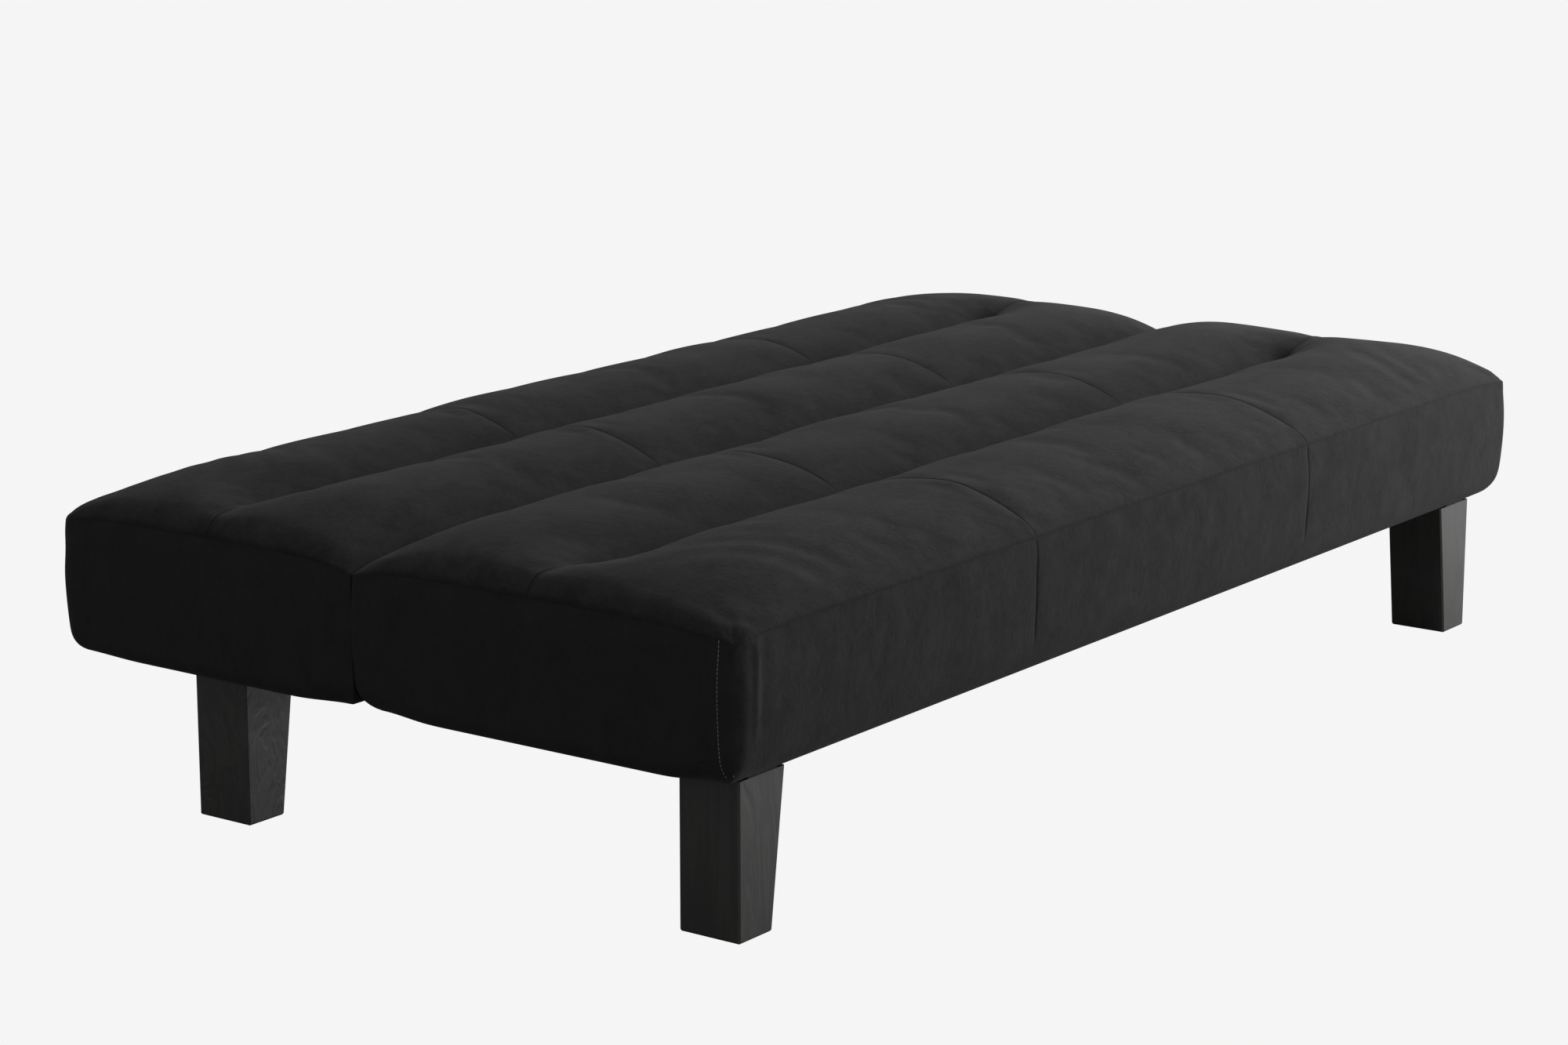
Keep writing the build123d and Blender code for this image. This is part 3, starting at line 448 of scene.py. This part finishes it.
        # Painted shade along the back box's bottom edge: the end of its turn under the box is darkened.
        if kind == "turn" and box.name == "back":
            seam[start:start + count] = smooth((value - 0.62) / 0.1)
    seam = np.clip(seam, 0, 1)
    rim = np.minimum(np.minimum(grid_x, bed_length - grid_x), np.minimum(grid_s, box.depth - grid_s)).ravel()
    points[: nx * ns, 2] += slack(*points[: nx * ns].T) * smooth(rim / 0.03)
    return points, faces, material, seam


def build_mesh(name, points, faces):
    """Mesh object at the origin from points and four-sided faces."""
    mesh = bpy.data.meshes.new(name)
    mesh.vertices.add(len(points))
    mesh.vertices.foreach_set("co", points.astype(np.float32).ravel())
    mesh.loops.add(faces.size)
    mesh.loops.foreach_set("vertex_index", faces.astype(np.int32).ravel())
    mesh.polygons.add(len(faces))
    mesh.polygons.foreach_set("loop_start", np.arange(0, faces.size, faces.shape[1], dtype=np.int32))
    mesh.polygons.foreach_set("loop_total", np.full(len(faces), faces.shape[1], dtype=np.int32))
    mesh.update(calc_edges=True)
    mesh.validate()
    made = bpy.data.objects.new(name, mesh)
    bpy.context.scene.collection.objects.link(made)
    return made


def border_levels(fine):
    """Profile of the border, downwards from the top seam and round under the box."""
    near = (0.005, 0.012, 0.024, 0.045, 0.080) if fine else (0.06,)
    side = [("side", t) for t in (*near, *np.linspace(0.13, 0.94, 9 if fine else 6))]
    turn = [("turn", t) for t in np.linspace(0.0, 1.0, 6 if fine else 4)]
    inside = [(0.030, 0.1805), (0.0305, 0.1855), (0.0135, 0.1865), (0.0130, 0.300), (0.020, 0.3065)]
    return side + turn + [("inside", place) for place in inside]


def still(box, points):
    """How freely each point may move: 1 nearly everywhere, down to 0 beside the crease, where the other
    box swings past."""
    inside = box.inward * (points[:, 1] - box.outer_y)
    return smooth((box.depth - inside - 0.001) / 0.020)


def even_lines(limit, pitch, marks):
    """Grid lines from 0 to a limit that pass through every mark, evenly spaced in between."""
    stops = [0.0, *marks, limit]
    runs = [np.linspace(a, b, max(2, int(round((b - a) / pitch)) + 1)) for a, b in zip(stops[:-1], stops[1:])]
    return np.unique(np.round(np.concatenate(runs), 5))


def blend_weights(known, wanted):
    """Matrix of cubic (Catmull-Rom) weights that carries values from the known lines to the wanted ones."""
    cell = np.clip(np.searchsorted(known, wanted, side="right") - 1, 0, len(known) - 2)
    t = (wanted - known[cell]) / (known[cell + 1] - known[cell])
    picks = np.stack([cell - 1, cell, cell + 1, cell + 2])
    picks = np.clip(picks, 0, len(known) - 1)
    cubic = np.stack([
        -0.5 * t + t**2 - 0.5 * t**3, 1 - 2.5 * t**2 + 1.5 * t**3,
        0.5 * t + 2 * t**2 - 1.5 * t**3, -0.5 * t**2 + 0.5 * t**3,
    ])
    matrix = np.zeros((len(wanted), len(known)))
    for pick, weight in zip(picks, cubic):
        np.add.at(matrix, (np.arange(len(wanted)), pick), weight)
    return matrix


def stuff(box, x_lines, s_lines, levels):
    """Blows up a coarse copy of the cover as cloth held at its seams, channel and turned-under edge, and
    returns how far each point of the finer cover moves: cubic between the coarse lines on the top panel,
    linear round and down the border. The cloth is cut 1 % slack, so it gathers along what holds it."""
    coarse_x = even_lines(bed_length, coarse_pitch[0], cross_seams)
    coarse_s = even_lines(box.depth, coarse_pitch[1], (box.channel,))
    coarse_levels = border_levels(False)
    points, faces, _, _ = make_shell(box, coarse_x, coarse_s, coarse_levels)
    nx, ns = len(coarse_x), len(coarse_s)
    trial = build_mesh("trial", points, faces)
    grid_x, grid_s = np.meshgrid(coarse_x, coarse_s, indexing="ij")
    end = np.minimum(grid_x, bed_length - grid_x)
    rim = np.minimum(np.minimum(end, grid_s), box.depth - grid_s)
    gap = np.abs(grid_s - box.channel)
    hold = np.maximum(bump(rim, 0.006), bump(gap, 0.006) * np.where(end > 0.10, 1.0, 0.75))
    for cross in cross_seams:
        hold = np.maximum(hold, 0.06 * bump(grid_x - cross, 0.006))
    weights = np.ones(len(points))
    weights[: nx * ns] = hold.ravel()
    count = 2 * (nx + ns) - 4
    for k, (kind, value) in enumerate(coarse_levels):
        if kind == "side":
            weights[nx * ns + k * count:nx * ns + (k + 1) * count] = 0.25 + 0.75 * value**2
    holder = trial.vertex_groups.new(name="held")
    for level in np.unique(np.round(weights, 2)):
        holder.add(np.nonzero(np.round(weights, 2) == level)[0].tolist(), float(level), "REPLACE")
    cloth = trial.modifiers.new("cloth", "CLOTH")
    cloth.settings.quality = 5
    cloth.settings.mass = 0.25
    cloth.settings.tension_stiffness = cloth.settings.compression_stiffness = 14
    cloth.settings.shear_stiffness = 6
    cloth.settings.bending_stiffness = 0.35
    cloth.settings.air_damping = 3
    cloth.settings.use_pressure = True
    cloth.settings.uniform_pressure_force = 2.5
    cloth.settings.shrink_min = cloth.settings.shrink_max = -cloth_slack
    cloth.settings.vertex_group_mass = "held"
    cloth.settings.pin_stiffness = 1.6
    cloth.settings.effector_weights.gravity = 0
    cloth.point_cache.frame_start, cloth.point_cache.frame_end = 1, cloth_frames
    for step in range(1, cloth_frames + 1):
        bpy.context.scene.frame_set(step)
    settled = trial.evaluated_get(bpy.context.evaluated_depsgraph_get())
    after = np.empty(len(points) * 3, np.float32)
    settled.data.vertices.foreach_get("co", after)
    moved = after.reshape(-1, 3) - points
    size = np.linalg.norm(moved, axis=1, keepdims=True)
    moved = moved * (swell_share * swell_limit * np.tanh(size / swell_limit) / np.maximum(size, 1e-9))
    bpy.context.scene.frame_set(1)
    bpy.data.objects.remove(trial)
    along, across = blend_weights(coarse_x, x_lines), blend_weights(coarse_s, s_lines)
    panel = moved[: nx * ns].reshape(nx, ns, 3)
    fine = np.einsum("ai,ijc,bj->abc", along, panel, across)
    shift = [fine.reshape(-1, 3)]
    coarse_ring, fine_ring = ring_run(coarse_x, coarse_s), ring_run(x_lines, s_lines)
    coarse_ring = np.append(coarse_ring, 2 * (bed_length + box.depth))
    coarse_t = [0.0] + [value for kind, value in coarse_levels if kind == "side"] + [below_border]
    rims = [outline_of(panel)]
    for k in range(len(coarse_t) - 2):
        rims.append(moved[nx * ns + k * count:nx * ns + (k + 1) * count])
    rims.append(np.zeros((count, 3)))
    rims = np.array(rims)
    around = np.array([
        [np.interp(fine_ring, coarse_ring, np.append(rim[:, axis], rim[0, axis])) for axis in range(3)]
        for rim in rims
    ])
    for kind, value in levels:
        t = value if kind == "side" else below_border
        low = int(np.clip(np.searchsorted(coarse_t, t, side="right") - 1, 0, len(coarse_t) - 2))
        share = (t - coarse_t[low]) / (coarse_t[low + 1] - coarse_t[low])
        shift.append((around[low] * (1 - share) + around[low + 1] * share).T)
    return np.concatenate(shift)


def ring_run(x_lines, s_lines):
    """Distance round the outline at each of its points, in the order the border is built."""
    far, wide = x_lines[-1], s_lines[-1]
    beyond = far + wide + (far - x_lines[-2::-1])
    back_again = 2 * far + wide + (wide - s_lines[-2:0:-1])
    return np.concatenate([x_lines, far + s_lines[1:], beyond, back_again])


def block_mesh(name, blocks):
    """One mesh of plain rectangular blocks, each given by its lowest and highest corners."""
    unit = np.array([(x, y, z) for z in (0, 1) for y in (0, 1) for x in (0, 1)], float)
    sides = np.array([(0, 2, 3, 1), (4, 5, 7, 6), (0, 1, 5, 4), (2, 6, 7, 3), (0, 4, 6, 2), (1, 3, 7, 5)])
    points = np.concatenate([np.array(low) + unit * (np.array(high) - np.array(low)) for low, high in blocks])
    return build_mesh(name, points, np.concatenate([sides + 8 * k for k in range(len(blocks))]))


def cut_openings(cover, box):
    """Cuts the slots that the hinges stand in and the notches over the leg rails into a finished cover."""
    crease = box.outer_y + box.inward * box.depth
    blocks = []
    for side in ("left", "right"):
        arm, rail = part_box(f"hinge_seat_arm_{side}"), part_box(f"leg_rail_{side}")
        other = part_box(f"hinge_back_arm_{side}")
        x_low, x_high = min(arm[0][0], other[0][0]) - slot_side, max(arm[1][0], other[1][0]) + slot_side
        near, far = sorted((crease + box.inward * past, crease - box.inward * slot_reach))
        blocks.append(((x_low, near, slot_bottom), (x_high, far, slot_top)))
        near, far = sorted((crease + box.inward * past, crease - box.inward * notch_reach))
        top = rail[1][2] + notch_room[box.name]
        x_low, x_high = rail[0][0] - notch_side, rail[1][0] + notch_side
        blocks.append(((x_low, near, notch_bottom), (x_high, far, top)))
    cutter = block_mesh("cutter", blocks)
    cut = cover.modifiers.new("openings", "BOOLEAN")
    cut.operation, cut.object, cut.solver = "DIFFERENCE", cutter, "EXACT"
    finished = bpy.data.meshes.new_from_object(cover.evaluated_get(bpy.context.evaluated_depsgraph_get()))
    cover.modifiers.clear()
    cover.data = finished
    bpy.data.objects.remove(cutter)


corner_lines = np.array((0.0105, 0.0140, 0.0175, 0.0212, 0.0250, 0.0290, 0.0335, 0.0385, 0.0440))
pitch_x, pitch_s = 0.0125, 0.0105  # between the finer cover's grid lines
coarse_pitch, cloth_slack, cloth_frames = (0.0145, 0.0135), 0.010, 20
swell_limit, swell_share = 0.005, 0.42  # the cloth's movement levels off at the limit; a share of it is kept
below_border = 1.2  # a level past the border's foot, where nothing moves
slot_reach, slot_side, slot_bottom, slot_top = 0.064, 0.005, 0.230, 0.3535
notch_reach, notch_side, notch_bottom = 0.031, 0.006, 0.170
notch_room = {"seat": 0.002, "back": 0.008}  # over the leg rails
past = 0.002  # openings start this far outside the cover
covers = {}
for box in (seat_box, back_box):
    x_lines = lines(bed_length, pitch_x, (0.0, *cross_seams, bed_length), corner_lines)
    s_lines = lines(box.depth, pitch_s, (0.0, box.channel, box.depth), corner_lines)
    levels = border_levels(True)
    points, faces, material, seam = make_shell(box, x_lines, s_lines, levels)
    shift = stuff(box, x_lines, s_lines, levels)
    points[: len(shift)] += shift * still(box, points[: len(shift)])[:, None]
    cover = build_mesh(f"{box.name}_upholstery", points, faces)
    cover.data.materials.append(top_cloth)
    cover.data.materials.append(side_cloth)
    cover.data.materials.append(end_cloth)
    cover.data.polygons.foreach_set("material_index", material.astype(np.int32))
    cover.data.polygons.foreach_set("use_smooth", np.ones(len(faces), bool))
    # The painted seam and crease shade goes on the cover as a point attribute, which the cloth materials
    # darken by.
    cover.data.attributes.new("seam", "FLOAT", "POINT").data.foreach_set("value", seam.astype(np.float32))
    finer = cover.modifiers.new("finer", "SUBSURF")
    finer.levels = finer.render_levels = 1
    cut_openings(cover, box)
    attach(cover, "base" if box.name == "seat" else "back")
    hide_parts(*(f"{box.name}_{part}" for part in ("cover", "foam", "wadding", "felt")))
    covers[box.name] = cover


# ---------------------------------------------------------------- corner topstitching
# One upright row of pale stitches on each end of the seat, just behind the outer corner.
def stitch_row(cover, y, x_side, low, high):
    """Stitches of one upright row of topstitching on the cover's end: grains of thread, each an ellipsoid,
    laid on the cloth where a level line from outside meets it."""
    tree = BVHTree.FromObject(cover, bpy.context.evaluated_depsgraph_get())
    heights = np.arange(low, high, stitch_pitch)
    places = [tree.ray_cast(Vector((x_side, y, z)), Vector((-x_side, 0, 0)))[:2] for z in heights]
    centre = np.array([place + stitch_lift * normal for place, normal in places])
    out = np.array([normal for _, normal in places])
    across = np.cross((0.0, 0.0, 1.0), out)
    across /= np.linalg.norm(across, axis=1, keepdims=True)
    along = np.cross(out, across)
    sides, rings = 8, 6
    turn, lift = np.meshgrid(
        np.linspace(0, 2 * np.pi, sides, endpoint=False), np.linspace(0.25, np.pi - 0.25, rings)
    )
    grain = np.stack([np.sin(lift) * np.cos(turn), np.sin(lift) * np.sin(turn), np.cos(lift)], -1)
    grain = np.concatenate([grain.reshape(-1, 3), [(0, 0, 1), (0, 0, -1)]]) * np.array(stitch_radii)
    points = (centre[:, None] + grain[None, :, :1] * out[:, None] + grain[None, :, 1:2] * across[:, None]
              + grain[None, :, 2:] * along[:, None])
    index = np.arange(rings * sides).reshape(rings, sides)
    upper, lower = index[:-1], index[1:]
    quads = np.stack([upper, np.roll(upper, -1, 1), np.roll(lower, -1, 1), lower], -1).reshape(-1, 4)
    north, south = rings * sides, rings * sides + 1
    caps = [(north, *pair) for pair in zip(np.roll(index[0], -1), index[0])]
    caps += [(south, *pair) for pair in zip(index[-1], np.roll(index[-1], -1))]
    one = [tuple(int(i) for i in face) for face in (*quads[:, ::-1], *caps)]
    faces = [tuple(i + len(grain) * k for i in face) for k in range(len(heights)) for face in one]
    return points.reshape(-1, 3), faces


def plain(name, colour, other, scale, roughness, metallic=0.0, relief=0.0004):
    """Even finish whose colour drifts between two tones, with a fine bump."""
    material, skin, node, link = shader(name)
    place = node("ShaderNodeTexCoord")
    turn = node("ShaderNodeMapping")
    turn.inputs["Scale"].default_value = scale
    link(place.outputs["Object"], turn.inputs["Vector"])
    drift = node("ShaderNodeTexNoise", Scale=1.0, Detail=5.0, Roughness=0.6)
    link(turn.outputs[0], drift.inputs["Vector"])
    ramp = two_tone(node, colour, other, 0.3, 0.7)
    link(drift.outputs["Fac"], ramp.inputs["Fac"])
    link(ramp.outputs["Color"], skin.inputs["Base Color"])
    skin.inputs["Roughness"].default_value = roughness
    skin.inputs["Metallic"].default_value = metallic
    fine = node("ShaderNodeBump", Strength=0.3, Distance=relief)
    link(drift.outputs["Fac"], fine.inputs["Height"])
    link(fine.outputs["Normal"], skin.inputs["Normal"])
    return material


stitch_pitch, stitch_lift = 0.0047, 0.0001
stitch_radii = (0.00045, 0.00055, 0.0019)  # half of each grain's thickness, width and length
stitch_inset, stitch_bottom, stitch_top = 0.0215, 0.196, 0.343
row_points, row_faces = [], []
for x_side in (-1.0, 1.0):
    row_y = seat_box.outer_y + seat_box.inward * stitch_inset
    points, faces = stitch_row(covers["seat"], row_y, x_side, stitch_bottom, stitch_top)
    row_faces += [tuple(i + sum(len(p) for p in row_points) for i in face) for face in faces]
    row_points.append(points)
rows_mesh = bpy.data.meshes.new("seat_corner_topstitch")
rows_mesh.from_pydata(np.concatenate(row_points).tolist(), [], row_faces)
rows_mesh.polygons.foreach_set("use_smooth", np.ones(len(row_faces), bool))
rows_mesh.materials.append(plain("thread", (0.24, 0.238, 0.235), (0.36, 0.357, 0.352), (900.0,) * 3, 0.7))
topstitch = bpy.data.objects.new("seat_corner_topstitch", rows_mesh)
bpy.context.scene.collection.objects.link(topstitch)
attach(topstitch, "base")


# ---------------------------------------------------------------- block legs
# Four tapered hardwood blocks, stained nearly black so the grain still shows.
def stained_wood(name, grain, knots):
    """Dark stained timber: long grain lines along Z, bent round a few knots, with open pores."""
    material, skin, node, link = shader(name)
    place = node("ShaderNodeTexCoord")
    run = node("ShaderNodeMapping")
    run.inputs["Scale"].default_value = grain
    link(place.outputs["Object"], run.inputs["Vector"])
    figure = node("ShaderNodeTexNoise", Scale=1.0, Detail=3.0, Roughness=0.5, Distortion=knots)
    link(run.outputs[0], figure.inputs["Vector"])
    rings = node("ShaderNodeMath", operation="MULTIPLY")
    rings.inputs[1].default_value = 34.0
    link(figure.outputs["Fac"], rings.inputs[0])
    waves = node("ShaderNodeMath", operation="SINE")
    link(rings.outputs[0], waves.inputs[0])
    fine = node("ShaderNodeMapping")
    fine.inputs["Scale"].default_value = (420.0, 420.0, 9.0)
    link(place.outputs["Object"], fine.inputs["Vector"])
    pores = node("ShaderNodeTexNoise", Scale=1.0, Detail=4.0, Roughness=0.7)
    link(fine.outputs[0], pores.inputs["Vector"])
    mix = node("ShaderNodeMix", data_type="FLOAT")
    mix.inputs["Factor"].default_value = 0.62
    spread = node("ShaderNodeMapRange")
    spread.inputs["From Min"].default_value = -1.0
    link(waves.outputs[0], spread.inputs["Value"])
    link(spread.outputs["Result"], mix.inputs["A"])
    link(pores.outputs["Fac"], mix.inputs["B"])
    ramp = two_tone(node, (0.012, 0.0108, 0.0092), (0.031, 0.0285, 0.0250), 0.25, 0.75)
    link(mix.outputs["Result"], ramp.inputs["Fac"])
    link(ramp.outputs["Color"], skin.inputs["Base Color"])
    skin.inputs["Roughness"].default_value = 0.44
    skin.inputs["IOR"].default_value = 1.8
    skin.inputs["Specular IOR Level"].default_value = 0.87
    relief = node("ShaderNodeBump", Strength=0.4, Distance=0.0012)
    link(mix.outputs["Result"], relief.inputs["Height"])
    link(relief.outputs["Normal"], skin.inputs["Normal"])
    return material


plain_leg = stained_wood("stained leg timber", (26.0, 26.0, 3.0), 0.8)
figured_leg = stained_wood("stained leg timber, figured", (14.0, 14.0, 7.0), 2.4)
for name in ("front_leg_left", "front_leg_right", "rear_leg_left", "rear_leg_right"):
    nodes[name].data.materials.clear()
    nodes[name].data.materials.append(figured_leg if name == "rear_leg_left" else plain_leg)


# ---------------------------------------------------------------- box frames, linings and steel
# Planed pine boxes with a stapled black lining, zigzag springs, black tube rails and zinc-plated ratchets.
finishes = {
    "frame_timber": plain("planed pine", (0.50, 0.36, 0.20), (0.66, 0.51, 0.31), (6.0, 60.0, 60.0), 0.6),
    "lining": plain("black lining", (0.010, 0.010, 0.010), (0.022, 0.022, 0.022), (700.0,) * 3, 0.95),
    "spring_steel": plain("spring wire", (0.30, 0.30, 0.29), (0.42, 0.42, 0.41), (80.0,) * 3, 0.35, 1.0),
    "black_steel": plain("black powder coat", (0.012, 0.012, 0.012), (0.02, 0.02, 0.02), (900.0,) * 3, 0.5),
    "rubber": plain("black rubber", (0.012, 0.012, 0.012), (0.02, 0.02, 0.02), (500.0,) * 3, 0.8),
    "glide_plastic": plain("black nylon", (0.015, 0.015, 0.015), (0.022, 0.022, 0.022), (500.0,) * 3, 0.5),
    "insert_brass": plain("brass", (0.55, 0.40, 0.16), (0.65, 0.50, 0.22), (200.0,) * 3, 0.35, 1.0),
    "zinc_steel": plain("zinc plate", (0.48, 0.48, 0.46), (0.60, 0.60, 0.58), (120.0,) * 3, 0.32, 1.0),
}
slots = {entry["node"]: entry["material_slot"] for entry in frame["record"]["subparts"]}
for name, cad in nodes.items():
    if slots.get(name) in finishes:
        cad.data.materials.clear()
        cad.data.materials.append(finishes[slots[name]])
